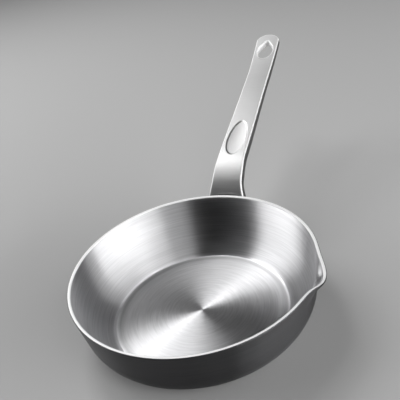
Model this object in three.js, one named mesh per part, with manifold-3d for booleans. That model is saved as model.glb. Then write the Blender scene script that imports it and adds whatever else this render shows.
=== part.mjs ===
// Egg pan: a small three-ply frying pan with one pouring spout and a welded cast handle.
// Millimetres. Origin at the middle of the base's underside, +Z up, handle along +Y, spout along +X.
import * as THREE from 'three';
import { mergeVertices } from 'three/addons/utils/BufferGeometryUtils.js';
import Module from 'manifold-3d';

const wasm = await Module();
wasm.setup();

// Pan body, measured on its outside
const RIM_RADIUS = 80;
const PAN_HEIGHT = 41;
const WALL_DRAFT = THREE.MathUtils.degToRad(9.5);
const HEEL_RADIUS = 5; // tight turn at the edge of the floor
const HEEL_TURN = THREE.MathUtils.degToRad(12);
const SIDE_RADIUS = 23; // wide turn up into the wall
const STEEL_SKIN = 0.5;
const ALUMINIUM_CORE = 1.2;

// Pouring spout, pressed out of the rim
const SPOUT_OUT = 4.2;
const SPOUT_DIP = 5;
const SPOUT_HALF_ANGLE = 0.17; // radians, where the bulge falls to about a third
const SPOUT_POWER = 2.2;
const SPOUT_FADE = 11; // height over which the bulge dies out down the wall

// Handle centreline, from the lower end of the foot to the tip, along its top face
const FOOT_DROP = 18; // rim down to the lower end of the foot
const FOOT_FLAT = 9;
const FOOT_BITE = 1.8; // how far the foot reaches into the wall before it is cut to fit
const ROOT_RADIUS = 30;
const ROOT_END_SLOPE = THREE.MathUtils.degToRad(36);
const NECK_RADIUS = 58;
const RUN_SLOPE = THREE.MathUtils.degToRad(13);
const RUN_LENGTH = 95;
const TIP_RADIUS = 360;
const TIP_LENGTH = 58;

// Handle widths and depths at the ends of those stretches
const FOOT_WIDTH = 30;
const ROOT_WIDTH = 28;
const ELBOW_WIDTH = 22.3;
const NECK_WIDTH = 20.7;
const WAIST_WIDTH = 18.9;
const TIP_WIDTH = 20.2;
const FOOT_DEPTH = 5.5;
const GRIP_DEPTH = 7.5;
const WAIST_DEPTH = 6.3;
const TIP_DEPTH = 5.3;
const FOOT_CORNER = 7;
const TIP_CORNER = 2;
const TIP_ROUND = 11;
const TOP_CHAMFER = 1;
const UNDER_CHAMFER = 0.7;

// Hollow under the handle
const HANDLE_PLATE = 2.4;
const HANDLE_SIDE = 2.2;
const POCKET_FROM_ROOT = 5;
const POCKET_TO_HOLE = 6;
const POCKET_CORNER = 4;

// Thumb rest, an egg-shaped hollow in the top face
const THUMB_LENGTH = 40;
const THUMB_WIDTH = 14.8;
const THUMB_EGG = 0.12;
const THUMB_DEPTH = 0.7;
const THUMB_EDGE = 0.8; // how far its edge slopes in
const THUMB_FROM_NECK = 16.5;

// Hanging hole, a teardrop with its narrow end towards the tip
const HOLE_RADIUS = 6.7;
const HOLE_APEX_RADIUS = 2.2;
const HOLE_REACH = 8.7; // from its middle to its narrow end, before it is drawn out
const HOLE_STRETCH = 1.45; // how much it is drawn out along the handle
const HOLE_TO_TIP = 21.8;
const HOLE_CHAMFER = 1.1;

// Spot welds between foot and wall
const WELD_RADIUS = 2.5;
const WELD_SIDEWAYS = 7;
const WELD_UPPER_DROP = 6; // below the rim
const WELD_LOWER_DROP = 14;
const FOOT_STANDOFF = 0.6;
const WELD_CLEARANCE = 0.1;

// Fineness of the facets
const PAN_SEGMENTS = 50; // round the pan, away from the spout
const SPOUT_SEGMENTS = 20;
const SPOUT_ZONE = THREE.MathUtils.degToRad(30); // to each side of the spout
const SIDE_STATIONS = [1, 8, 6, 8, 6]; // along each stretch of the handle
const HEEL_STEPS = 2;
const SIDE_STEPS = 6;
const SPOUT_STEPS = 4; // down the wall, as deep as the spout reaches
const MERGE_DISTANCE = 1e-4;
const OVERSHOOT = 2; // how far a cutter stands out of what it cuts

// Even steps from one value to another, both ends included
function steps(from, to, count) {
  return Array.from({ length: count + 1 }, (_, i) => from + ((to - from) * i) / count);
}

// Closed body from triangles, turned to face out
function bodyFrom(triangles) {
  const kept = triangles.filter(([a, b, c]) => !(a.equals(b) || b.equals(c) || c.equals(a)));
  const cross = new THREE.Vector3();
  const volume = kept.reduce((sum, [a, b, c]) => sum + a.dot(cross.crossVectors(b, c)), 0);
  const corners = kept.flatMap(([a, b, c]) => (volume > 0 ? [a, b, c] : [a, c, b]));
  return mergeVertices(new THREE.BufferGeometry().setFromPoints(corners), MERGE_DISTANCE);
}

// Fan over one end of a loft
function endCap(ring) {
  const middle = ring.reduce((sum, p) => sum.add(p), new THREE.Vector3()).divideScalar(ring.length);
  return ring.map((p, j) => [middle, ring[(j + 1) % ring.length], p]);
}

// Closed body through rings of equal count; a last ring that shrinks to a line needs no cap
function loft(rings, capLast = true) {
  const triangles = endCap(rings[0]);
  for (let i = 0; i + 1 < rings.length; i += 1) {
    const [low, high] = [rings[i], rings[i + 1]];
    low.forEach((p, j) => {
      const k = (j + 1) % low.length;
      triangles.push([p, low[k], high[k]], [p, high[k], high[j]]);
    });
  }
  if (capLast) triangles.push(...endCap([...rings.at(-1)].reverse()));
  return bodyFrom(triangles);
}

function toManifold(geometry) {
  const vertProperties = Float32Array.from(geometry.attributes.position.array);
  const triVerts = Uint32Array.from(geometry.index.array);
  return new wasm.Manifold(new wasm.Mesh({ numProp: 3, vertProperties, triVerts }));
}

function fromManifold(body) {
  const mesh = body.getMesh();
  const geometry = new THREE.BufferGeometry();
  geometry.setAttribute('position', new THREE.BufferAttribute(mesh.vertProperties, 3));
  geometry.setIndex(new THREE.BufferAttribute(mesh.triVerts, 1));
  return geometry;
}

// Pan profile: floor, tight heel arc, wide side arc, straight wall
const wallTurn = Math.PI / 2 - WALL_DRAFT;
const sideGrowth = SIDE_RADIUS - HEEL_RADIUS;
const sideHeight = HEEL_RADIUS + sideGrowth * Math.cos(HEEL_TURN);
const wallFootHeight = sideHeight - SIDE_RADIUS * Math.cos(wallTurn);
const wallFootRadius = RIM_RADIUS - (PAN_HEIGHT - wallFootHeight) * Math.tan(WALL_DRAFT);
const sideRadius = wallFootRadius - SIDE_RADIUS * Math.sin(wallTurn);
const floorRadius = sideRadius + sideGrowth * Math.sin(HEEL_TURN);
const coreDepth = STEEL_SKIN + ALUMINIUM_CORE;
const panThickness = coreDepth + STEEL_SKIN;

// Outside radius at a height on the wall or the side arc, for a surface standing out from the pan
function wallRadius(height, out) {
  const arcRadius = SIDE_RADIUS + out;
  const below = sideHeight - height;
  if (below > arcRadius * Math.cos(wallTurn)) return sideRadius + Math.sqrt(arcRadius ** 2 - below ** 2);
  return RIM_RADIUS - (PAN_HEIGHT - height) * Math.tan(WALL_DRAFT) + out / Math.cos(WALL_DRAFT);
}

function arcPoint(centreRadius, centreHeight, radius, turn) {
  return [centreRadius + radius * Math.sin(turn), centreHeight - radius * Math.cos(turn)];
}

// Radius and height of each profile point, for a surface lying the given depth inside the outer one
function profile(depth) {
  const heel = steps(0, HEEL_TURN, HEEL_STEPS);
  const side = steps(HEEL_TURN, wallTurn, SIDE_STEPS).slice(1);
  const wall = steps(PAN_HEIGHT - SPOUT_FADE, PAN_HEIGHT, SPOUT_STEPS);
  return [
    ...heel.map((turn) => arcPoint(floorRadius, HEEL_RADIUS, HEEL_RADIUS - depth, turn)),
    ...side.map((turn) => arcPoint(sideRadius, sideHeight, SIDE_RADIUS - depth, turn)),
    ...wall.map((height) => [wallRadius(height, -depth), height]),
  ];
}

// A point of the pan at an angle from the spout, with the spout's bulge added
function panPoint([radius, height], angle) {
  const spread = Math.exp(-Math.pow(Math.abs(angle) / SPOUT_HALF_ANGLE, SPOUT_POWER));
  const bulge = spread * THREE.MathUtils.smoothstep(height, PAN_HEIGHT - SPOUT_FADE, PAN_HEIGHT);
  const reach = radius + SPOUT_OUT * bulge;
  return new THREE.Vector3(reach * Math.cos(angle), reach * Math.sin(angle), height - SPOUT_DIP * bulge);
}

const fullTurn = 2 * Math.PI;
const roundAngles = [
  ...steps(-SPOUT_ZONE, SPOUT_ZONE, SPOUT_SEGMENTS).slice(0, -1),
  ...steps(SPOUT_ZONE, fullTurn - SPOUT_ZONE, PAN_SEGMENTS).slice(0, -1),
].map((angle) => (angle > Math.PI ? angle - fullTurn : angle));

// Triangles of one pan surface, from the middle of the floor to the rim
function panSurface(depth) {
  const rows = profile(depth).map((point) => roundAngles.map((angle) => panPoint(point, angle)));
  const middle = new THREE.Vector3(0, 0, depth);
  const triangles = [];
  roundAngles.forEach((_, j) => {
    const k = (j + 1) % roundAngles.length;
    triangles.push([middle, rows[0][k], rows[0][j]]);
    for (let i = 0; i + 1 < rows.length; i += 1) {
      const [low, high] = [rows[i], rows[i + 1]];
      triangles.push([low[j], low[k], high[k]], [low[j], high[k], high[j]]);
    }
  });
  return { triangles, rim: rows.at(-1) };
}

// One ply of the clad sheet, between two depths below the outer surface
function ply(outerDepth, innerDepth) {
  const outer = panSurface(outerDepth);
  const inner = panSurface(innerDepth);
  const edge = outer.rim.flatMap((p, j) => {
    const k = (j + 1) % outer.rim.length;
    return [
      [p, outer.rim[k], inner.rim[k]],
      [p, inner.rim[k], inner.rim[j]],
    ];
  });
  return bodyFrom([...outer.triangles, ...inner.triangles.map(([a, b, c]) => [a, c, b]), ...edge]);
}

// Handle centreline: stretches of constant curvature, each with its slope at both ends
const stretches = [
  { length: FOOT_FLAT, from: wallTurn, to: wallTurn },
  { length: ROOT_RADIUS * (wallTurn - ROOT_END_SLOPE), from: wallTurn, to: ROOT_END_SLOPE },
  { length: NECK_RADIUS * (ROOT_END_SLOPE - RUN_SLOPE), from: ROOT_END_SLOPE, to: RUN_SLOPE },
  { length: RUN_LENGTH, from: RUN_SLOPE, to: RUN_SLOPE },
  { length: TIP_LENGTH, from: RUN_SLOPE, to: RUN_SLOPE + TIP_LENGTH / TIP_RADIUS },
];
const marks = stretches.reduce((list, stretch) => [...list, list.at(-1) + stretch.length], [0]);
const [, , rootEnd, neckEnd, , tipEnd] = marks;
const widths = [FOOT_WIDTH, ROOT_WIDTH, ELBOW_WIDTH, NECK_WIDTH, WAIST_WIDTH, TIP_WIDTH];
const depths = [FOOT_DEPTH, GRIP_DEPTH, GRIP_DEPTH, GRIP_DEPTH, WAIST_DEPTH, TIP_DEPTH];

function advance([y, z], { length, from, to }, done) {
  const slope = from + ((to - from) * done) / length;
  if (from === to) return [y + done * Math.cos(from), z + done * Math.sin(from), slope];
  const radius = length / (to - from);
  const forward = radius * (Math.sin(slope) - Math.sin(from));
  const rise = radius * (Math.cos(from) - Math.cos(slope));
  return [y + forward, z + rise, slope];
}

function centreline(along) {
  let place = [RIM_RADIUS - FOOT_DROP * Math.tan(WALL_DRAFT) - FOOT_BITE, PAN_HEIGHT - FOOT_DROP];
  for (let i = 0; i < stretches.length; i += 1) {
    const done = Math.min(Math.max(along - marks[i], 0), stretches[i].length);
    place = advance(place, stretches[i], done);
    if (along <= marks[i + 1]) break;
  }
  return place;
}

// From handle measures (along, sideways, up from the top face) to space
function bend(along, sideways, up) {
  const [y, z, slope] = centreline(along);
  return new THREE.Vector3(sideways, y - up * Math.sin(slope), z + up * Math.cos(slope));
}

// Value that eases from mark to mark of the handle
function eased(values, along) {
  const i = Math.max(1, marks.findIndex((mark) => along <= mark));
  const share = THREE.MathUtils.smoothstep(along, marks[i - 1], marks[i]);
  return THREE.MathUtils.lerp(values[i - 1], values[i], share);
}

const halfWidth = (along) => eased(widths, Math.min(along, tipEnd)) / 2;
const depthAt = (along) => eased(depths, Math.min(along, tipEnd));

// One side of the handle's plan outline, foot to tip, each point with its outward direction
function handleOutline() {
  const footHalf = FOOT_WIDTH / 2;
  const cornerSide = TIP_WIDTH / 2 - TIP_CORNER;
  const cornerBack = Math.sqrt((TIP_ROUND - TIP_CORNER) ** 2 - cornerSide ** 2);
  const roundCentre = tipEnd - TIP_ROUND;
  const cornerCentre = roundCentre + cornerBack;
  const cornerTurn = Math.atan2(cornerSide, cornerBack);
  const foot = steps(Math.PI, Math.PI / 2, 4).map((turn) => ({
    along: FOOT_CORNER * (1 + Math.cos(turn)),
    half: footHalf - FOOT_CORNER * (1 - Math.sin(turn)),
    turn,
  }));
  const stops = [FOOT_CORNER, ...marks.slice(1, -1), cornerCentre];
  const places = SIDE_STATIONS.flatMap((count, i) => steps(stops[i], stops[i + 1], count).slice(1));
  const side = places.slice(0, -1).map((along) => ({ along, half: halfWidth(along), turn: Math.PI / 2 }));
  const corner = steps(Math.PI / 2, cornerTurn, 3).map((turn) => ({
    along: cornerCentre + TIP_CORNER * Math.cos(turn),
    half: cornerSide + TIP_CORNER * Math.sin(turn),
    turn,
  }));
  const end = steps(cornerTurn, 0, 7).slice(1).map((turn) => ({
    along: roundCentre + TIP_ROUND * Math.cos(turn),
    half: turn === 0 ? 0 : TIP_ROUND * Math.sin(turn),
    turn,
  }));
  return [...foot, ...side, ...corner, ...end];
}

// Section of the handle at one outline point: chamfered top edges, smaller chamfers below
function handleSection({ along, half, turn }) {
  const depth = depthAt(along);
  const edge = (inset, up) => {
    const sideways = Math.max(half - inset * Math.sin(turn), 0);
    return { sideways, place: along - inset * Math.cos(turn), up };
  };
  const right = [
    edge(TOP_CHAMFER, 0),
    edge(0, -TOP_CHAMFER),
    edge(0, UNDER_CHAMFER - depth),
    edge(UNDER_CHAMFER, -depth),
  ];
  const left = [...right].reverse().map((p) => ({ ...p, sideways: -p.sideways }));
  return [...right, ...left].map((p) => bend(p.place, p.sideways, p.up));
}

// Hollow cut from below, with rounded ends
function pocketCutter() {
  const from = rootEnd + POCKET_FROM_ROOT;
  const to = tipEnd - HOLE_TO_TIP - HOLE_STRETCH * HOLE_RADIUS - POCKET_TO_HOLE;
  const corner = steps(0, Math.PI / 2, 3).map((turn) => ({
    inset: POCKET_CORNER * (1 - Math.sin(turn)),
    shrink: POCKET_CORNER * (1 - Math.cos(turn)),
  }));
  const middle = steps(from + POCKET_CORNER, to - POCKET_CORNER, 18).slice(1, -1);
  const stations = [
    ...[...corner].reverse().map(({ inset, shrink }) => ({ along: from + inset, shrink })),
    ...middle.map((along) => ({ along, shrink: 0 })),
    ...corner.map(({ inset, shrink }) => ({ along: to - inset, shrink })),
  ];
  return loft(stations.map(({ along, shrink }) => {
    const half = halfWidth(along) - HANDLE_SIDE - shrink;
    const below = -depthAt(along) - OVERSHOOT;
    const corners = [[half, -HANDLE_PLATE], [half, below], [-half, below], [-half, -HANDLE_PLATE]];
    return corners.map(([sideways, up]) => bend(along, sideways, up));
  }));
}

// Egg-shaped thumb rest, wider towards the pan
function thumbCutter() {
  const middle = neckEnd + THUMB_FROM_NECK;
  const levels = [[-OVERSHOOT, OVERSHOOT], [0, 0], [THUMB_EDGE, -THUMB_DEPTH]];
  return loft(levels.map(([inset, up]) => steps(0, fullTurn, 36).slice(0, -1).map((turn) => {
    const along = (THUMB_LENGTH / 2 - inset) * Math.cos(turn);
    const sideways = (THUMB_WIDTH / 2 - inset) * Math.sin(turn) * (1 - THUMB_EGG * Math.cos(turn));
    return bend(middle + along, sideways, up);
  })));
}

// Teardrop outline grown by an amount all round
function teardrop(grow) {
  const [big, small, reach] = [HOLE_RADIUS + grow, HOLE_APEX_RADIUS + grow, HOLE_REACH - HOLE_APEX_RADIUS];
  const tangent = Math.acos((HOLE_RADIUS - HOLE_APEX_RADIUS) / reach);
  return [
    ...steps(tangent, fullTurn - tangent, 20).map((turn) => [big * Math.cos(turn), big * Math.sin(turn)]),
    ...steps(-tangent, tangent, 6).map((turn) => [reach + small * Math.cos(turn), small * Math.sin(turn)]),
  ];
}

function holeCutter() {
  const middle = tipEnd - HOLE_TO_TIP;
  const depth = depthAt(middle);
  const levels = [
    [HOLE_CHAMFER + OVERSHOOT, OVERSHOOT],
    [0, -HOLE_CHAMFER],
    [0, HOLE_CHAMFER - depth],
    [HOLE_CHAMFER + OVERSHOOT, -depth - OVERSHOOT],
  ];
  return loft(levels.map(([grow, up]) => teardrop(grow).map(([x, y]) => bend(middle + HOLE_STRETCH * x, y, up))));
}

// Everything inside the wall and the standoff, to fit the foot to the pan
function wallCutter() {
  const from = PAN_HEIGHT - FOOT_DROP - OVERSHOOT;
  const to = PAN_HEIGHT + FOOT_DROP;
  return loft(steps(from, to, 24).map((height) => steps(0, fullTurn, 120).slice(0, -1).map((angle) => {
    const radius = wallRadius(height, FOOT_STANDOFF);
    return new THREE.Vector3(radius * Math.cos(angle), radius * Math.sin(angle), height);
  })));
}

function handle() {
  const blank = toManifold(loft(handleOutline().map(handleSection), false));
  const cutters = [pocketCutter(), thumbCutter(), holeCutter(), wallCutter()].map(toManifold);
  return fromManifold(cutters.reduce((body, cutter) => body.subtract(cutter), blank));
}

// Round weld spot lying in the standoff, curved like the wall
function weldSpot(sideways, drop) {
  const faces = [WELD_CLEARANCE, FOOT_STANDOFF - WELD_CLEARANCE];
  return loft(faces.map((out) => steps(0, fullTurn, 24).slice(0, -1).map((turn) => {
    const height = PAN_HEIGHT - drop + WELD_RADIUS * Math.sin(turn) * Math.cos(WALL_DRAFT);
    const radius = wallRadius(height, out);
    const angle = (sideways + WELD_RADIUS * Math.cos(turn)) / radius;
    return new THREE.Vector3(radius * Math.sin(angle), radius * Math.cos(angle), height);
  })));
}

function material(color, roughness) {
  return new THREE.MeshStandardMaterial({ color, metalness: 1, roughness });
}

const part = new THREE.Group();
part.name = 'egg_pan';

function addPiece(name, geometry, look) {
  const mesh = new THREE.Mesh(geometry, look);
  mesh.name = name;
  part.add(mesh);
}

addPiece('outer_ply', ply(0, STEEL_SKIN), material(0x8f9194, 0.4));
addPiece('core_ply', ply(STEEL_SKIN, coreDepth), material(0xb9bcc0, 0.5));
addPiece('inner_ply', ply(coreDepth, panThickness), material(0xc4c6c8, 0.3));
addPiece('handle', handle(), material(0xc9cbcd, 0.3));
const weldPlaces = [WELD_UPPER_DROP, WELD_LOWER_DROP].flatMap((drop) => [
  [-WELD_SIDEWAYS, drop],
  [WELD_SIDEWAYS, drop],
]);
weldPlaces.forEach(([sideways, drop], i) => {
  addPiece(`handle_weld_${i + 1}`, weldSpot(sideways, drop), material(0x9a9a9a, 0.6));
});

export default part;
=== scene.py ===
"""Looks of the egg pan: smooth skins, a cast handle, brushed steel, a camera and soft studio light."""

import math

import bmesh
import bpy
import numpy as np
from mathutils import Matrix, Vector


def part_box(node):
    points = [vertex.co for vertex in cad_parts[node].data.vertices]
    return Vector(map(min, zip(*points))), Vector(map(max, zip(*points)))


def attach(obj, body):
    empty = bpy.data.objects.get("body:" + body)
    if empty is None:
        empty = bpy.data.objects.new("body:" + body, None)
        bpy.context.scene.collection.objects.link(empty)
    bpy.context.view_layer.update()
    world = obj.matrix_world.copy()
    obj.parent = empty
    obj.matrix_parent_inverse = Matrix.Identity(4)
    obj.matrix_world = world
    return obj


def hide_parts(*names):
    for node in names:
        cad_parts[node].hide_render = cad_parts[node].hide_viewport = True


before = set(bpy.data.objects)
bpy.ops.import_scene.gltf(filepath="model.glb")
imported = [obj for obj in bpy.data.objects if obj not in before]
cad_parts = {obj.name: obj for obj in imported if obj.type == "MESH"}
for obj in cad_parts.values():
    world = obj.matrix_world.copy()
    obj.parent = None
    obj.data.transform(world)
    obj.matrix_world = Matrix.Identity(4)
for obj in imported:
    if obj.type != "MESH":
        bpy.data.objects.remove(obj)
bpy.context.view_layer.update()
MM = 0.001

# Pan body, from the frame and the sheet's own sizes
PAN_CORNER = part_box("outer_ply")[1]
PAN_HEIGHT = PAN_CORNER[2]
RIM_RADIUS = PAN_CORNER[1]
WALL_DRAFT = math.radians(9.5)
HEEL_RADIUS = 5 * MM
HEEL_TURN = math.radians(12)
SIDE_RADIUS = 23 * MM
STEEL_SKIN = 0.5 * MM
ALUMINIUM_CORE = 1.2 * MM
CORE_END = STEEL_SKIN + ALUMINIUM_CORE
SHEET = 2 * STEEL_SKIN + ALUMINIUM_CORE
RIM_ROUND = 0.75 * MM

# Pouring spout: reach, dip, half angle in radians, flatness of its lip and height over which it fades
SPOUT_OUT = 4.2 * MM
SPOUT_DIP = 5 * MM
SPOUT_HALF_ANGLE = 0.17
SPOUT_POWER = 2.2
SPOUT_FADE = 11 * MM

# Handle centreline along its top face, from the foot to the tip
FOOT_DROP = 18 * MM
FOOT_FLAT = 9 * MM
FOOT_BITE = 1.8 * MM
FOOT_STANDOFF = 0.6 * MM
FOOT_CUT_BELOW = 3 * MM
ROOT_RADIUS = 30 * MM
ROOT_END_SLOPE = math.radians(36)
NECK_RADIUS = 58 * MM
RUN_SLOPE = math.radians(13)
RUN_LENGTH = 95 * MM
TIP_RADIUS = 360 * MM
TIP_LENGTH = 58 * MM

# Handle widths and depths at the ends of those stretches, then its corners, edges and hollow
HANDLE_WIDTHS = np.array([30, 28, 22.3, 20.7, 18.9, 20.2]) * MM
HANDLE_DEPTHS = np.array([5.5, 7.5, 7.5, 7.5, 6.3, 5.3]) * MM
FOOT_CORNER = 7 * MM
TIP_CORNER = 2 * MM
TIP_ROUND = 11 * MM
TOP_CHAMFER = 1 * MM
UNDER_CHAMFER = 0.7 * MM
HANDLE_PLATE = 2.4 * MM
HANDLE_SIDE = 2.2 * MM
POCKET_FROM_ROOT = 5 * MM
POCKET_TO_HOLE = 6 * MM
POCKET_RAMP = 5 * MM
POCKET_DRAFT = 0.1 * MM
POCKET_FILLET = 0.8 * MM

# Thumb rest and hanging hole
THUMB_LENGTH = 40 * MM
THUMB_WIDTH = 14.8 * MM
THUMB_EGG = 0.12
THUMB_DEPTH = 0.7 * MM
THUMB_STEP = 0.36 * MM
THUMB_EDGE = 0.6 * MM
THUMB_FROM_NECK = 16.5 * MM
HOLE_RADIUS = 6.7 * MM
HOLE_APEX_RADIUS = 2.2 * MM
HOLE_REACH = 8.7 * MM
HOLE_STRETCH = 1.45
HOLE_TO_TIP = 21.8 * MM
HOLE_CHAMFER = 1.1 * MM
HOLE_OVERSHOOT = 1 * MM
HOLE_BEVEL_START = 0.15

WELD_COUNT = 4

# Mesh steps of the pan, round it and along its profile
PAN_STEPS = 288
FLOOR_STEPS = 12
HEEL_STEPS = 6
SIDE_ARC_STEPS = 40
WALL_STEPS = 24
RIM_STEPS = 8
PAN_SHARP_ANGLE = math.radians(40)

# Mesh steps of the handle, along it and round its section
STATION = 0.5 * MM
FOOT_CORNER_STEPS = 9
TIP_CORNER_STEPS = 7
TIP_ROUND_STEPS = 35
TOP_STEPS = 32
EDGE_STEPS = 5
SIDE_SHARES = (0.3, 0.7)
UNDER_STEPS = 4
SIDE_STEPS = len(SIDE_SHARES) + UNDER_STEPS + 1
HOLE_ROUND_STEPS = 72
HOLE_APEX_STEPS = 16
HOLE_BEVEL_STEPS = 5
FOOT_CUT_ROWS = 24
FOOT_CUT_STEPS = 360
HANDLE_SHARP_ANGLE = math.radians(35)
MERGE_DISTANCE = 0.0001 * MM

# Finish zones of a piece's faces, in the order of its materials
SKIN, EDGE, SIDE = range(3)

# Looks of the inside: the soft painted highlight ring round the floor, the painted shade ring within it,
# and the wall's even tone
PAINTED_HIGHLIGHT_RADIUS = 58.4 * MM
PAINTED_SHADE_RADIUS = 55.2 * MM
PAINTED_BAND_HALF_WIDTH = 2.8 * MM
PAINTED_HIGHLIGHT_AND_SHADE_BANDS = [(PAINTED_HIGHLIGHT_RADIUS, 0.5), (PAINTED_SHADE_RADIUS, -0.2)]
SHADE_EASE = 1.2 * MM
WALL_SHADE_LEAN = math.radians(56)
SPOUT_OWN_SHADE = 2

# Brushing: turn of its highlight, scales of its lines, and how uneven it makes the steel
BRUSH_TURN = 0.25
ROUND_LINE_SCALE = 2
CROSS_LINE_SCALE = 40
LINE_DETAIL = 3
LINE_RANGE = (0.3, 0.7)
ROUGHNESS_RANGE = (0.85, 1.15)
RELIEF_STRENGTH = 0.25
RELIEF_HEIGHT = 0.02 * MM

# Camera, as fitted to the photograph
CAMERA_EYE = Vector((0.1425, -0.2807, 0.2742))
CAMERA_RIGHT = Vector((0.9352, 0.3043, -0.1815))
CAMERA_FORWARD = Vector((-0.3540, 0.7806, -0.5152))
CAMERA_CLIP = 10 * MM
FOCAL_PIXELS = 620
FRAME_PIXELS = 400
SENSOR_WIDTH = 36

# Studio floor and lights, with softboxes by azimuth from +X towards +Y, elevation, width, height and watts
STUDIO_SIZE = 8
STUDIO_GREY = (0.46, 0.46, 0.46, 1)
STUDIO_ROUGHNESS = 0.9
WORLD_BLACK = (0, 0, 0, 1)
LIGHT_DISTANCE = 1.3
LIGHT_AIM = Vector((0, 0.03, 0.03))
SOFTBOXES = {
    "key": (157, 45, 0.6, 0.45, 5),
    "high": (135, 58, 0.32, 0.55, 4.1),
    "left": (189, 27, 1.2, 0.4, 6.2),
    "right": (350, 13, 0.95, 0.4, 5.3),
    "right_wide": (352, 14, 1.9, 0.4, 16),
    "right_back": (32, 27, 0.7, 0.4, 1.7),
    "fill": (310, 45, 0.8, 0.4, 2.2),
}

# Profile of the pan's outer face
WALL_TURN = math.pi / 2 - WALL_DRAFT
SIDE_GROWTH = SIDE_RADIUS - HEEL_RADIUS
SIDE_HEIGHT = HEEL_RADIUS + SIDE_GROWTH * math.cos(HEEL_TURN)
WALL_FOOT_HEIGHT = SIDE_HEIGHT - SIDE_RADIUS * math.cos(WALL_TURN)
WALL_FOOT_RADIUS = RIM_RADIUS - (PAN_HEIGHT - WALL_FOOT_HEIGHT) * math.tan(WALL_DRAFT)
SIDE_CENTRE = WALL_FOOT_RADIUS - SIDE_RADIUS * math.sin(WALL_TURN)
FLOOR_RADIUS = SIDE_CENTRE + SIDE_GROWTH * math.sin(HEEL_TURN)

# Handle stretches of constant curvature, as length, slope at the start and slope at the end
STRETCHES = [
    (FOOT_FLAT, WALL_TURN, WALL_TURN),
    (ROOT_RADIUS * (WALL_TURN - ROOT_END_SLOPE), WALL_TURN, ROOT_END_SLOPE),
    (NECK_RADIUS * (ROOT_END_SLOPE - RUN_SLOPE), ROOT_END_SLOPE, RUN_SLOPE),
    (RUN_LENGTH, RUN_SLOPE, RUN_SLOPE),
    (TIP_LENGTH, RUN_SLOPE, RUN_SLOPE + TIP_LENGTH / TIP_RADIUS),
]
MARKS = np.concatenate([[0], np.cumsum([length for length, _, _ in STRETCHES])])
ROOT_END, NECK_END, TIP_END = MARKS[2], MARKS[3], MARKS[5]
HOLE_MIDDLE = TIP_END - HOLE_TO_TIP
THUMB_MIDDLE = NECK_END + THUMB_FROM_NECK


def smooth_step(value, low, high):
    """From 0 at low to 1 at high, level at both ends."""
    share = np.clip((np.asarray(value) - low) / (high - low), 0, 1)
    return share * share * (3 - 2 * share)


def arc_points(centre_radius, centre_height, radius, turns):
    """Radius and height along an arc, by its turn from straight down."""
    radii = centre_radius + radius * np.sin(turns)
    return np.stack([radii, centre_height - radius * np.cos(turns)], axis=1)


def rim_drop(depth):
    """How far the rounded edge of the rim lies below its top, at a depth into the sheet."""
    from_edge = np.minimum(depth, SHEET - depth)
    inside = np.clip(RIM_ROUND - from_edge, 0, RIM_ROUND)
    return RIM_ROUND - np.sqrt(RIM_ROUND ** 2 - inside ** 2)


def rim_points(depth, drop):
    """Radius and height at a depth into the sheet and a drop below the top of the rim."""
    radii = RIM_RADIUS - depth / math.cos(WALL_DRAFT) - drop * math.tan(WALL_DRAFT)
    return np.stack([radii, PAN_HEIGHT - drop], axis=-1)


def rim_edge(outer_depth, inner_depth):
    """Points over the rim's rounded edge between two depths, both ends left out."""
    depths = np.linspace(outer_depth, inner_depth, RIM_STEPS + 1)[1:-1]
    return rim_points(depths, rim_drop(depths))


def profile(depth):
    """Radius and height along one pan surface, from inside the floor up to the rim's rounded edge."""
    floor_radii = np.linspace(0, FLOOR_RADIUS, FLOOR_STEPS + 1)[1:-1]
    floor = np.stack([floor_radii, np.full(len(floor_radii), depth)], axis=1)
    heel_turns = np.linspace(0, HEEL_TURN, HEEL_STEPS + 1)[:-1]
    heel = arc_points(FLOOR_RADIUS, HEEL_RADIUS, HEEL_RADIUS - depth, heel_turns)
    side_turns = np.linspace(HEEL_TURN, WALL_TURN, SIDE_ARC_STEPS + 1)
    side = arc_points(SIDE_CENTRE, SIDE_HEIGHT, SIDE_RADIUS - depth, side_turns)
    rim = rim_points(depth, rim_drop(depth))
    wall = side[-1] + (rim - side[-1]) * np.linspace(0, 1, WALL_STEPS + 1)[1:, None]
    return np.concatenate([floor, heel, side, wall])


def spout_spread(angles):
    """Share of the spout's bulge along the rim, at an angle from its middle."""
    return np.exp(-(np.abs(angles) / SPOUT_HALF_ANGLE) ** SPOUT_POWER)


def spout_bulge(angles, height):
    """Share of the spout's full bulge at an angle from it and a height on the plain wall."""
    return spout_spread(angles) * smooth_step(height, PAN_HEIGHT - SPOUT_FADE, PAN_HEIGHT)


def pan_points(section, angles):
    """A profile turned round the pan, with the spout's bulge added near the rim."""
    radius, height = section[:, None, 0], section[:, None, 1]
    bulge = spout_bulge(angles, height)
    reach = radius + SPOUT_OUT * bulge
    return np.stack([reach * np.cos(angles), reach * np.sin(angles), height - SPOUT_DIP * bulge], axis=-1)


def new_object(name, vertices, faces, zones):
    """A closed mesh whose faces carry the finishes given by their zones."""
    mesh = bpy.data.meshes.new(name)
    mesh.from_pydata([tuple(vertex) for vertex in vertices], [], faces)
    mesh.polygons.foreach_set("material_index", np.asarray(zones))
    body = bmesh.new()
    body.from_mesh(mesh)
    bmesh.ops.remove_doubles(body, verts=body.verts, dist=MERGE_DISTANCE)
    bmesh.ops.dissolve_degenerate(body, edges=body.edges, dist=MERGE_DISTANCE)
    bmesh.ops.recalc_face_normals(body, faces=body.faces)
    body.to_mesh(mesh)
    body.free()
    piece = bpy.data.objects.new(name, mesh)
    bpy.context.collection.objects.link(piece)
    return piece


def grid_faces(rows, columns):
    """Quads of a grid that closes on itself along its columns."""
    row, column = np.meshgrid(np.arange(rows - 1), np.arange(columns), indexing="ij")
    after = (column + 1) % columns
    corners = np.stack([row * columns + column, row * columns + after,
                        (row + 1) * columns + after, (row + 1) * columns + column], axis=-1)
    return corners.reshape(-1, 4).tolist()


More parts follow.
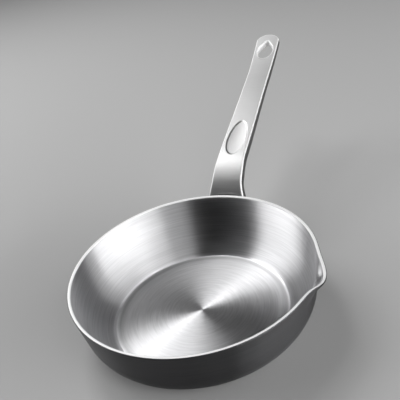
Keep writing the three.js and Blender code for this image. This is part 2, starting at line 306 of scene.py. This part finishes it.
def shade(piece, sharp_angle):
    """Smooth shading that keeps edges sharper than the angle."""
    piece.data.shade_smooth()
    edges = bmesh.new()
    edges.from_mesh(piece.data)
    for edge in edges.edges:
        if len(edge.link_faces) == 2:
            edge.smooth = edge.calc_face_angle() < sharp_angle
    edges.to_mesh(piece.data)
    edges.free()


def dress(piece, *materials):
    """Gives a piece its materials, in place of any that it had."""
    # Clearing also resets the faces' zones, so a new mesh is left alone
    if piece.data.materials:
        piece.data.materials.clear()
    for material in materials:
        piece.data.materials.append(material)


def ply(name, node, outer_depth, inner_depth, materials):
    """One layer of the sheet, as a closed skin over its outside, its edge and its inside."""
    outside = profile(outer_depth)
    edge = rim_edge(outer_depth, inner_depth)
    inside = profile(inner_depth)[::-1]
    section = np.concatenate([outside, edge, inside])
    angles = np.linspace(-math.pi, math.pi, PAN_STEPS, endpoint=False)
    rings = pan_points(section, angles)
    points = [*rings.reshape(-1, 3), (0, 0, outer_depth), (0, 0, inner_depth)]
    last = (len(section) - 1) * PAN_STEPS
    faces = grid_faces(len(section), PAN_STEPS)
    for step in range(PAN_STEPS):
        after = (step + 1) % PAN_STEPS
        faces.append((after, step, len(points) - 2))
        faces.append((last + step, last + after, len(points) - 1))
    zones = np.full(len(faces), SKIN)
    zones[(len(outside) - 1) * PAN_STEPS:(len(outside) + len(edge)) * PAN_STEPS] = EDGE
    piece = new_object(name, points, faces, zones)
    dress(piece, *materials)
    shade(piece, PAN_SHARP_ANGLE)
    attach(piece, "root")
    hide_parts(node)
    return piece


def mesh_values(items, field, kind=float, width=1):
    """One field of all the vertices, corners or faces of a mesh."""
    values = np.empty(len(items) * width, kind)
    items.foreach_get(field, values)
    return values.reshape(-1, width).squeeze()


def even_inside(piece):
    """Shades the wall alike from its ring to its rim, as circular brushing makes a real one look."""
    mesh = piece.data
    normals = mesh_values(mesh.corner_normals, "vector", width=3)
    corners = mesh_values(mesh.loops, "vertex_index", kind=int)
    points = mesh_values(mesh.vertices, "co", width=3)[corners]
    radius = np.linalg.norm(points[:, :2], axis=1).clip(MERGE_DISTANCE)
    lean = WALL_SHADE_LEAN * smooth_step(radius, FLOOR_RADIUS, FLOOR_RADIUS + SHADE_EASE)
    across = -points[:, :2] / radius[:, None] * np.sin(lean)[:, None]
    even = np.column_stack([across, np.cos(lean)])
    angles = np.arctan2(points[:, 1], points[:, 0])
    plain_height = points[:, 2] + SPOUT_DIP * spout_spread(angles)
    share = np.clip(1 - SPOUT_OWN_SHADE * spout_bulge(angles, plain_height), 0, 1)[:, None]
    sizes = mesh_values(mesh.polygons, "loop_total", kind=int)
    zones = mesh_values(mesh.polygons, "material_index", kind=int)
    inside = (np.repeat(zones, sizes) == SKIN) & ((normals * even).sum(axis=1) > 0)
    normals[inside] = (normals + (even - normals) * share)[inside]
    normals /= np.linalg.norm(normals, axis=1, keepdims=True)
    mesh.normals_split_custom_set(normals.tolist())


def centreline(along):
    """Place and slope of the handle's top face at a distance from the lower end of the foot."""
    y = RIM_RADIUS - FOOT_DROP * math.tan(WALL_DRAFT) - FOOT_BITE
    z = PAN_HEIGHT - FOOT_DROP
    slope = WALL_TURN
    for (length, start, end), mark in zip(STRETCHES, MARKS):
        done = min(max(along - mark, 0), length)
        slope = start + (end - start) * done / length
        if start == end:
            y += done * math.cos(start)
            z += done * math.sin(start)
        else:
            radius = length / (end - start)
            y += radius * (math.sin(slope) - math.sin(start))
            z += radius * (math.cos(start) - math.cos(slope))
        if along <= mark + length:
            break
    return y, z, slope


def bend(along, sideways, up):
    """From handle measures to space: along the centreline, to the side, and up from the top face."""
    y, z, slope = centreline(along)
    return (sideways, y - up * math.sin(slope), z + up * math.cos(slope))


def eased(values, along):
    """A width or depth of the handle, eased between its values at the marks."""
    along = min(along, TIP_END)
    i = max(1, int(np.searchsorted(MARKS, along)))
    share = float(smooth_step(along, MARKS[i - 1], MARKS[i]))
    return values[i - 1] + (values[i] - values[i - 1]) * share


def thumb_dip(along, sideways):
    """Depth of the thumb rest below the top face."""
    x = (along - THUMB_MIDDLE) / (THUMB_LENGTH / 2)
    y = sideways / (THUMB_WIDTH / 2) / (1 - THUMB_EGG * x)
    out = min(math.hypot(x, y), 1)
    step = THUMB_STEP * float(smooth_step((1 - out) * THUMB_WIDTH / 2, 0, THUMB_EDGE))
    return step + (THUMB_DEPTH - THUMB_STEP) * (1 - out ** 2)


def outline_arc(centre, side, radius, turns):
    """Stations round one corner of the handle's plan outline."""
    return [(centre + radius * math.cos(turn), side + radius * math.sin(turn), turn) for turn in turns]


def handle_stations():
    """Places along one side of the plan outline: distance along, half width and outward direction."""
    foot_half = HANDLE_WIDTHS[0] / 2
    corner_side = HANDLE_WIDTHS[-1] / 2 - TIP_CORNER
    corner_back = math.sqrt((TIP_ROUND - TIP_CORNER) ** 2 - corner_side ** 2)
    round_centre = TIP_END - TIP_ROUND
    corner_centre = round_centre + corner_back
    corner_turn = math.atan2(corner_side, corner_back)
    side_steps = round((corner_centre - FOOT_CORNER) / STATION)
    foot_turns = np.linspace(math.pi, math.pi / 2, FOOT_CORNER_STEPS + 1)[:-1]
    side_places = np.linspace(FOOT_CORNER, corner_centre, side_steps + 1)[:-1]
    corner_turns = np.linspace(math.pi / 2, corner_turn, TIP_CORNER_STEPS + 1)[:-1]
    round_turns = np.linspace(corner_turn, 0, TIP_ROUND_STEPS + 1)
    return [
        *outline_arc(FOOT_CORNER, foot_half - FOOT_CORNER, FOOT_CORNER, foot_turns),
        *[(along, eased(HANDLE_WIDTHS, along) / 2, math.pi / 2) for along in side_places],
        *outline_arc(corner_centre, corner_side, TIP_CORNER, corner_turns),
        *outline_arc(round_centre, 0, TIP_ROUND, round_turns),
    ]


def pocket_depth(along):
    """How far the hollow underneath reaches up from the underside, easing in and out at its ends."""
    start = ROOT_END + POCKET_FROM_ROOT
    end = HOLE_MIDDLE - HOLE_STRETCH * HOLE_RADIUS - POCKET_TO_HOLE
    ease_in = smooth_step(along, start, start + POCKET_RAMP)
    ease_out = smooth_step(end - along, 0, POCKET_RAMP)
    return float(ease_in * ease_out) * (eased(HANDLE_DEPTHS, along) - HANDLE_PLATE)


def handle_section(along, half, turn):
    """One ring of the handle: top face, rounded edges, sides, lips and the hollow underneath."""
    depth = eased(HANDLE_DEPTHS, along)
    side_depth = depth - TOP_CHAMFER - UNDER_CHAMFER
    hollow = pocket_depth(along)

    def edge(inset, up):
        return along - inset * math.cos(turn), max(half - inset * math.sin(turn), 0), up

    top_place, top_side, _ = edge(TOP_CHAMFER, 0)
    sides = top_side * np.linspace(0, 1, TOP_STEPS + 1)
    right = [(top_place, side, -thumb_dip(top_place, side)) for side in sides]
    for turned in np.linspace(0, math.pi / 2, EDGE_STEPS + 1)[1:]:
        right.append(edge(TOP_CHAMFER * (1 - math.sin(turned)), -TOP_CHAMFER * (1 - math.cos(turned))))
    right += [edge(0, -TOP_CHAMFER - side_depth * share) for share in SIDE_SHARES]
    for turned in np.linspace(0, math.pi / 2, UNDER_STEPS + 1):
        inset = UNDER_CHAMFER * (1 - math.cos(turned))
        right.append(edge(inset, -depth + UNDER_CHAMFER * (1 - math.sin(turned))))
    roof = edge(HANDLE_SIDE + POCKET_DRAFT + POCKET_FILLET, -depth + hollow)
    right.append(edge(HANDLE_SIDE, -depth))
    right.append(edge(HANDLE_SIDE + POCKET_DRAFT, -depth + hollow - min(POCKET_FILLET, hollow / 2)))
    right.append(roof)
    right.append((roof[0], 0, -depth + hollow))
    left = [(place, -side, up) for place, side, up in right[-2:0:-1]]
    return [bend(*point) for point in right + left]


def loft(name, rings, around):
    """A closed mesh through rings, with a finish zone for each step round a ring."""
    count = len(rings[0])
    vertices = [point for ring in rings for point in ring]
    faces = grid_faces(len(rings), count)
    last = len(vertices) - count
    faces += [list(range(count))[::-1], list(range(last, last + count))]
    return new_object(name, vertices, faces, [*np.tile(around, len(rings) - 1), SKIN, SKIN])


def teardrop(grow):
    """Outline of the hanging hole, a round end and a smaller apex, both grown by the same amount."""
    big, small = HOLE_RADIUS + grow, HOLE_APEX_RADIUS + grow
    reach = HOLE_REACH - HOLE_APEX_RADIUS
    tangent = math.acos((HOLE_RADIUS - HOLE_APEX_RADIUS) / reach)
    round_turns = np.linspace(tangent, 2 * math.pi - tangent, HOLE_ROUND_STEPS + 1)
    apex_turns = np.linspace(-tangent, tangent, HOLE_APEX_STEPS + 1)
    round_end = [(big * math.cos(turn), big * math.sin(turn)) for turn in round_turns]
    apex = [(reach + small * math.cos(turn), small * math.sin(turn)) for turn in apex_turns]
    return round_end + apex


def hole_cutter():
    """The hanging hole with its rounded edges, reaching past both faces of the handle."""
    depth = eased(HANDLE_DEPTHS, HOLE_MIDDLE)
    levels = [(HOLE_CHAMFER + HOLE_OVERSHOOT, HOLE_OVERSHOOT)]
    for turned in np.linspace(HOLE_BEVEL_START, math.pi / 2, HOLE_BEVEL_STEPS + 1):
        levels.append((HOLE_CHAMFER * (1 - math.sin(turned)), -HOLE_CHAMFER * (1 - math.cos(turned))))
    levels += [(grow, -depth - up) for grow, up in levels[::-1]]
    rings = []
    for grow, up in levels:
        rings.append([bend(HOLE_MIDDLE + HOLE_STRETCH * x, y, up) for x, y in teardrop(grow)])
    return loft("hole_cutter", rings, np.full(len(rings[0]), EDGE))


def wall_cutter():
    """The inside of the wall and its standoff, which the foot is cut to fit."""
    low, high = PAN_HEIGHT - FOOT_DROP - FOOT_CUT_BELOW, PAN_HEIGHT + FOOT_DROP
    heights = np.linspace(low, high, FOOT_CUT_ROWS + 1)
    angles = np.linspace(0, 2 * math.pi, FOOT_CUT_STEPS, endpoint=False)
    below = SIDE_HEIGHT - heights
    arc = SIDE_RADIUS + FOOT_STANDOFF
    on_arc = SIDE_CENTRE + np.sqrt(np.clip(arc ** 2 - below ** 2, 0, None))
    wall_radii = RIM_RADIUS - (PAN_HEIGHT - heights) * math.tan(WALL_DRAFT)
    on_wall = wall_radii + FOOT_STANDOFF / math.cos(WALL_DRAFT)
    radii = np.where(below > arc * math.cos(WALL_TURN), on_arc, on_wall)
    rings = [[(r * math.cos(a), r * math.sin(a), z) for a in angles] for r, z in zip(radii, heights)]
    return loft("wall_cutter", rings, np.full(len(angles), SKIN))


def cut(piece, cutter):
    """Takes one closed mesh away from another."""
    modifier = piece.modifiers.new("cut", "BOOLEAN")
    modifier.operation = "DIFFERENCE"
    modifier.solver = "EXACT"
    modifier.object = cutter
    with bpy.context.temp_override(object=piece, active_object=piece):
        bpy.ops.object.modifier_apply(modifier=modifier.name)
    bpy.data.objects.remove(cutter)


def handle(*materials):
    """The cast handle, with its hanging hole and its foot cut to the wall."""
    rings = [handle_section(*station) for station in handle_stations()]
    around = np.full(len(rings[0]), SKIN)
    side_start = TOP_STEPS + EDGE_STEPS
    side_end = side_start + SIDE_STEPS
    around[TOP_STEPS:side_start] = EDGE
    around[-side_start:-TOP_STEPS] = EDGE
    around[side_start:side_end] = SIDE
    around[-side_end:-side_start] = SIDE
    piece = loft("cast_handle", rings, around)
    dress(piece, *materials)
    cut(piece, hole_cutter())
    cut(piece, wall_cutter())
    shade(piece, HANDLE_SHARP_ANGLE)
    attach(piece, "root")
    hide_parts("handle")


def fill_inputs(tree, node, values):
    """Gives a node's first inputs numbers or the outputs of other nodes, and returns its output."""
    for socket, value in zip(node.inputs, values):
        if isinstance(value, (int, float)):
            socket.default_value = value
        else:
            tree.links.new(value, socket)
    return node.outputs[0]


def math_node(tree, operation, *values):
    """The result of one operation on numbers or outputs."""
    node = tree.nodes.new("ShaderNodeMath")
    node.operation = operation
    return fill_inputs(tree, node, values)


def vector_node(tree, *values):
    """A vector of up to three numbers or outputs."""
    return fill_inputs(tree, tree.nodes.new("ShaderNodeCombineXYZ"), values)


def range_node(tree, value, start, end, interpolation="LINEAR"):
    """Maps an output from one range, a pair of numbers, to another."""
    node = tree.nodes.new("ShaderNodeMapRange")
    node.interpolation_type = interpolation
    return fill_inputs(tree, node, (value, *start, *end))


def pan_radius(tree, x, y):
    """Distance from the pan's upright axis."""
    squares = [math_node(tree, "MULTIPLY", part, part) for part in (x, y)]
    return math_node(tree, "SQRT", math_node(tree, "ADD", *squares))


def round_lines(tree, x, y, z, line_width):
    """Direction and pattern of brushing in circles round the pan."""
    radius = pan_radius(tree, x, y)
    direction = vector_node(tree, math_node(tree, "MULTIPLY", y, -1), x)
    across = math_node(tree, "ADD", radius, z)
    turns = [math_node(tree, "DIVIDE", part, radius) for part in (x, y)]
    pattern = vector_node(tree, math_node(tree, "MULTIPLY", across, 1 / line_width),
                          *[math_node(tree, "MULTIPLY", turn, ROUND_LINE_SCALE) for turn in turns])
    return direction, pattern


def cross_lines(tree, x, y, z, line_width):
    """Direction and pattern of straight brushing across the handle."""
    direction = vector_node(tree, 1)
    pattern = vector_node(tree, math_node(tree, "MULTIPLY", x, CROSS_LINE_SCALE),
                          *[math_node(tree, "MULTIPLY", part, 1 / line_width) for part in (y, z)])
    return direction, pattern


def painted_band(tree, radius, middle, change):
    """One away from a circle round the pan, changed on it, with soft edges: painted highlight where the
    change is up, painted shade where it is down.
    """
    away = math_node(tree, "ABSOLUTE", math_node(tree, "SUBTRACT", radius, middle))
    return range_node(tree, away, (0, PAINTED_BAND_HALF_WIDTH), (1 + change, 1), "SMOOTHSTEP")


def brushed_steel(name, colour, roughness, anisotropy, brushing, line_width, contrast,
                  wall_roughness=None):
    """Metal with brushed lines in its colour, roughness and relief.

    A wall roughness makes it the pan's inside, which also gets the painted highlight and painted shade
    bands round the floor.
    """
    material = bpy.data.materials.new(name)
    material.use_nodes = True
    tree = material.node_tree
    shader = tree.nodes["Principled BSDF"]
    shader.inputs["Metallic"].default_value = 1
    shader.inputs["Anisotropic"].default_value = anisotropy
    shader.inputs["Anisotropic Rotation"].default_value = BRUSH_TURN
    split = tree.nodes.new("ShaderNodeSeparateXYZ")
    tree.links.new(tree.nodes.new("ShaderNodeTexCoord").outputs["Object"], split.inputs[0])
    x, y, z = split.outputs
    direction, pattern = brushing(tree, x, y, z, line_width)
    tree.links.new(direction, shader.inputs["Tangent"])
    noise = tree.nodes.new("ShaderNodeTexNoise")
    noise.inputs["Scale"].default_value = 1
    noise.inputs["Detail"].default_value = LINE_DETAIL
    tree.links.new(pattern, noise.inputs["Vector"])
    lines = noise.outputs[0]
    tone = range_node(tree, lines, LINE_RANGE, (1 - contrast, 1 + contrast))
    if wall_roughness:
        radius = pan_radius(tree, x, y)
        # Painted highlight ring and painted shade ring round the floor, multiplied into the colour
        for middle, change in PAINTED_HIGHLIGHT_AND_SHADE_BANDS:
            tone = math_node(tree, "MULTIPLY", tone, painted_band(tree, radius, middle, change))
        wall_start = (FLOOR_RADIUS, FLOOR_RADIUS + SHADE_EASE)
        roughness = range_node(tree, radius, wall_start, (roughness, wall_roughness), "SMOOTHSTEP")
    tint = tree.nodes.new("ShaderNodeMix")
    tint.data_type = "RGBA"
    tint.blend_type = "MULTIPLY"
    tint.inputs["Factor"].default_value = 1
    tint.inputs["A"].default_value = (*colour, 1)
    tree.links.new(tone, tint.inputs["B"])
    tree.links.new(tint.outputs["Result"], shader.inputs["Base Color"])
    uneven = range_node(tree, lines, (0, 1), ROUGHNESS_RANGE)
    tree.links.new(math_node(tree, "MULTIPLY", uneven, roughness), shader.inputs["Roughness"])
    bump = tree.nodes.new("ShaderNodeBump")
    bump.inputs["Strength"].default_value = RELIEF_STRENGTH
    bump.inputs["Distance"].default_value = RELIEF_HEIGHT
    tree.links.new(lines, bump.inputs["Height"])
    tree.links.new(bump.outputs[0], shader.inputs["Normal"])
    return material


def build_camera():
    """The camera at the photograph's viewpoint, with its frame and focal length."""
    camera = bpy.data.objects.new("camera", bpy.data.cameras.new("camera"))
    bpy.context.collection.objects.link(camera)
    forward = CAMERA_FORWARD.normalized()
    right = (CAMERA_RIGHT - forward * CAMERA_RIGHT.dot(forward)).normalized()
    up = right.cross(forward)
    turn = Matrix((right, up, -forward)).transposed()
    camera.matrix_world = Matrix.Translation(CAMERA_EYE) @ turn.to_4x4()
    camera.data.sensor_width = SENSOR_WIDTH
    camera.data.lens = SENSOR_WIDTH * FOCAL_PIXELS / FRAME_PIXELS
    camera.data.clip_start = CAMERA_CLIP
    bpy.context.scene.camera = camera


def build_floor():
    """A plain pale floor under the pan."""
    bpy.ops.mesh.primitive_plane_add(size=STUDIO_SIZE)
    floor = bpy.context.object
    floor.name = "studio_floor"
    material = bpy.data.materials.new("pale_floor")
    material.use_nodes = True
    shader = material.node_tree.nodes["Principled BSDF"]
    shader.inputs["Base Color"].default_value = STUDIO_GREY
    shader.inputs["Roughness"].default_value = STUDIO_ROUGHNESS
    dress(floor, material)


def build_lights():
    """Softboxes in a black room, all at one distance and turned to the pan."""
    world = bpy.data.worlds.new("studio")
    bpy.context.scene.world = world
    world.use_nodes = True
    world.node_tree.nodes["Background"].inputs["Color"].default_value = WORLD_BLACK
    for name, (azimuth, elevation, width, height, power) in SOFTBOXES.items():
        lamp = bpy.data.lights.new(name, "AREA")
        lamp.shape = "RECTANGLE"
        lamp.size = width
        lamp.size_y = height
        lamp.energy = power
        light = bpy.data.objects.new(name, lamp)
        bpy.context.collection.objects.link(light)
        turn, rise = math.radians(azimuth), math.radians(elevation)
        flat = math.cos(rise)
        way = Vector((flat * math.cos(turn), flat * math.sin(turn), math.sin(rise)))
        light.location = LIGHT_AIM + way * LIGHT_DISTANCE
        light.rotation_euler = (-way).to_track_quat("-Z", "Y").to_euler()
    bpy.context.scene.view_settings.view_transform = "Standard"


build_camera()
build_floor()
build_lights()

inside_steel = brushed_steel("inside_steel", colour=(0.55, 0.55, 0.56), roughness=0.44, anisotropy=0.9,
                             brushing=round_lines, line_width=1.2 * MM, contrast=0.11, wall_roughness=0.38)
# Edge steel far paler and rougher than the rest, so it catches light all round: a painted highlight on the
# rims, the handle's edges and the hole's bevel
painted_highlight_edge_steel = brushed_steel("painted_highlight_edge_steel", colour=(0.9, 0.9, 0.9), roughness=0.75, anisotropy=0,
                           brushing=round_lines, line_width=0.6 * MM, contrast=0.05)
# Outside steel far darker than the same steel inside: painted shade
painted_shade_outside_steel = brushed_steel("painted_shade_outside_steel", colour=(0.09, 0.09, 0.093), roughness=0.34, anisotropy=1,
                              brushing=round_lines, line_width=1 * MM, contrast=0.08)
core_metal = brushed_steel("core_metal", colour=(0.8, 0.8, 0.81), roughness=0.25, anisotropy=0.5,
                           brushing=round_lines, line_width=0.6 * MM, contrast=0.05)
handle_steel = brushed_steel("handle_steel", colour=(0.61, 0.61, 0.61), roughness=0.44, anisotropy=0.55,
                             brushing=cross_lines, line_width=0.5 * MM, contrast=0.03)
# Handle sides far darker than its top of the same cast steel: painted shade
painted_shade_side_steel = brushed_steel("painted_shade_side_steel", colour=(0.1, 0.1, 0.1), roughness=0.4, anisotropy=0.3,
                           brushing=cross_lines, line_width=0.5 * MM, contrast=0.05)

ply("pan_outside", "outer_ply", 0, STEEL_SKIN, [painted_shade_outside_steel, painted_shade_outside_steel])
ply("pan_core", "core_ply", STEEL_SKIN, CORE_END, [core_metal, painted_highlight_edge_steel])
even_inside(ply("pan_inside", "inner_ply", CORE_END, SHEET, [inside_steel, painted_highlight_edge_steel]))
handle(handle_steel, painted_highlight_edge_steel, painted_shade_side_steel)
for number in range(1, WELD_COUNT + 1):
    dress(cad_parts[f"handle_weld_{number}"], handle_steel)
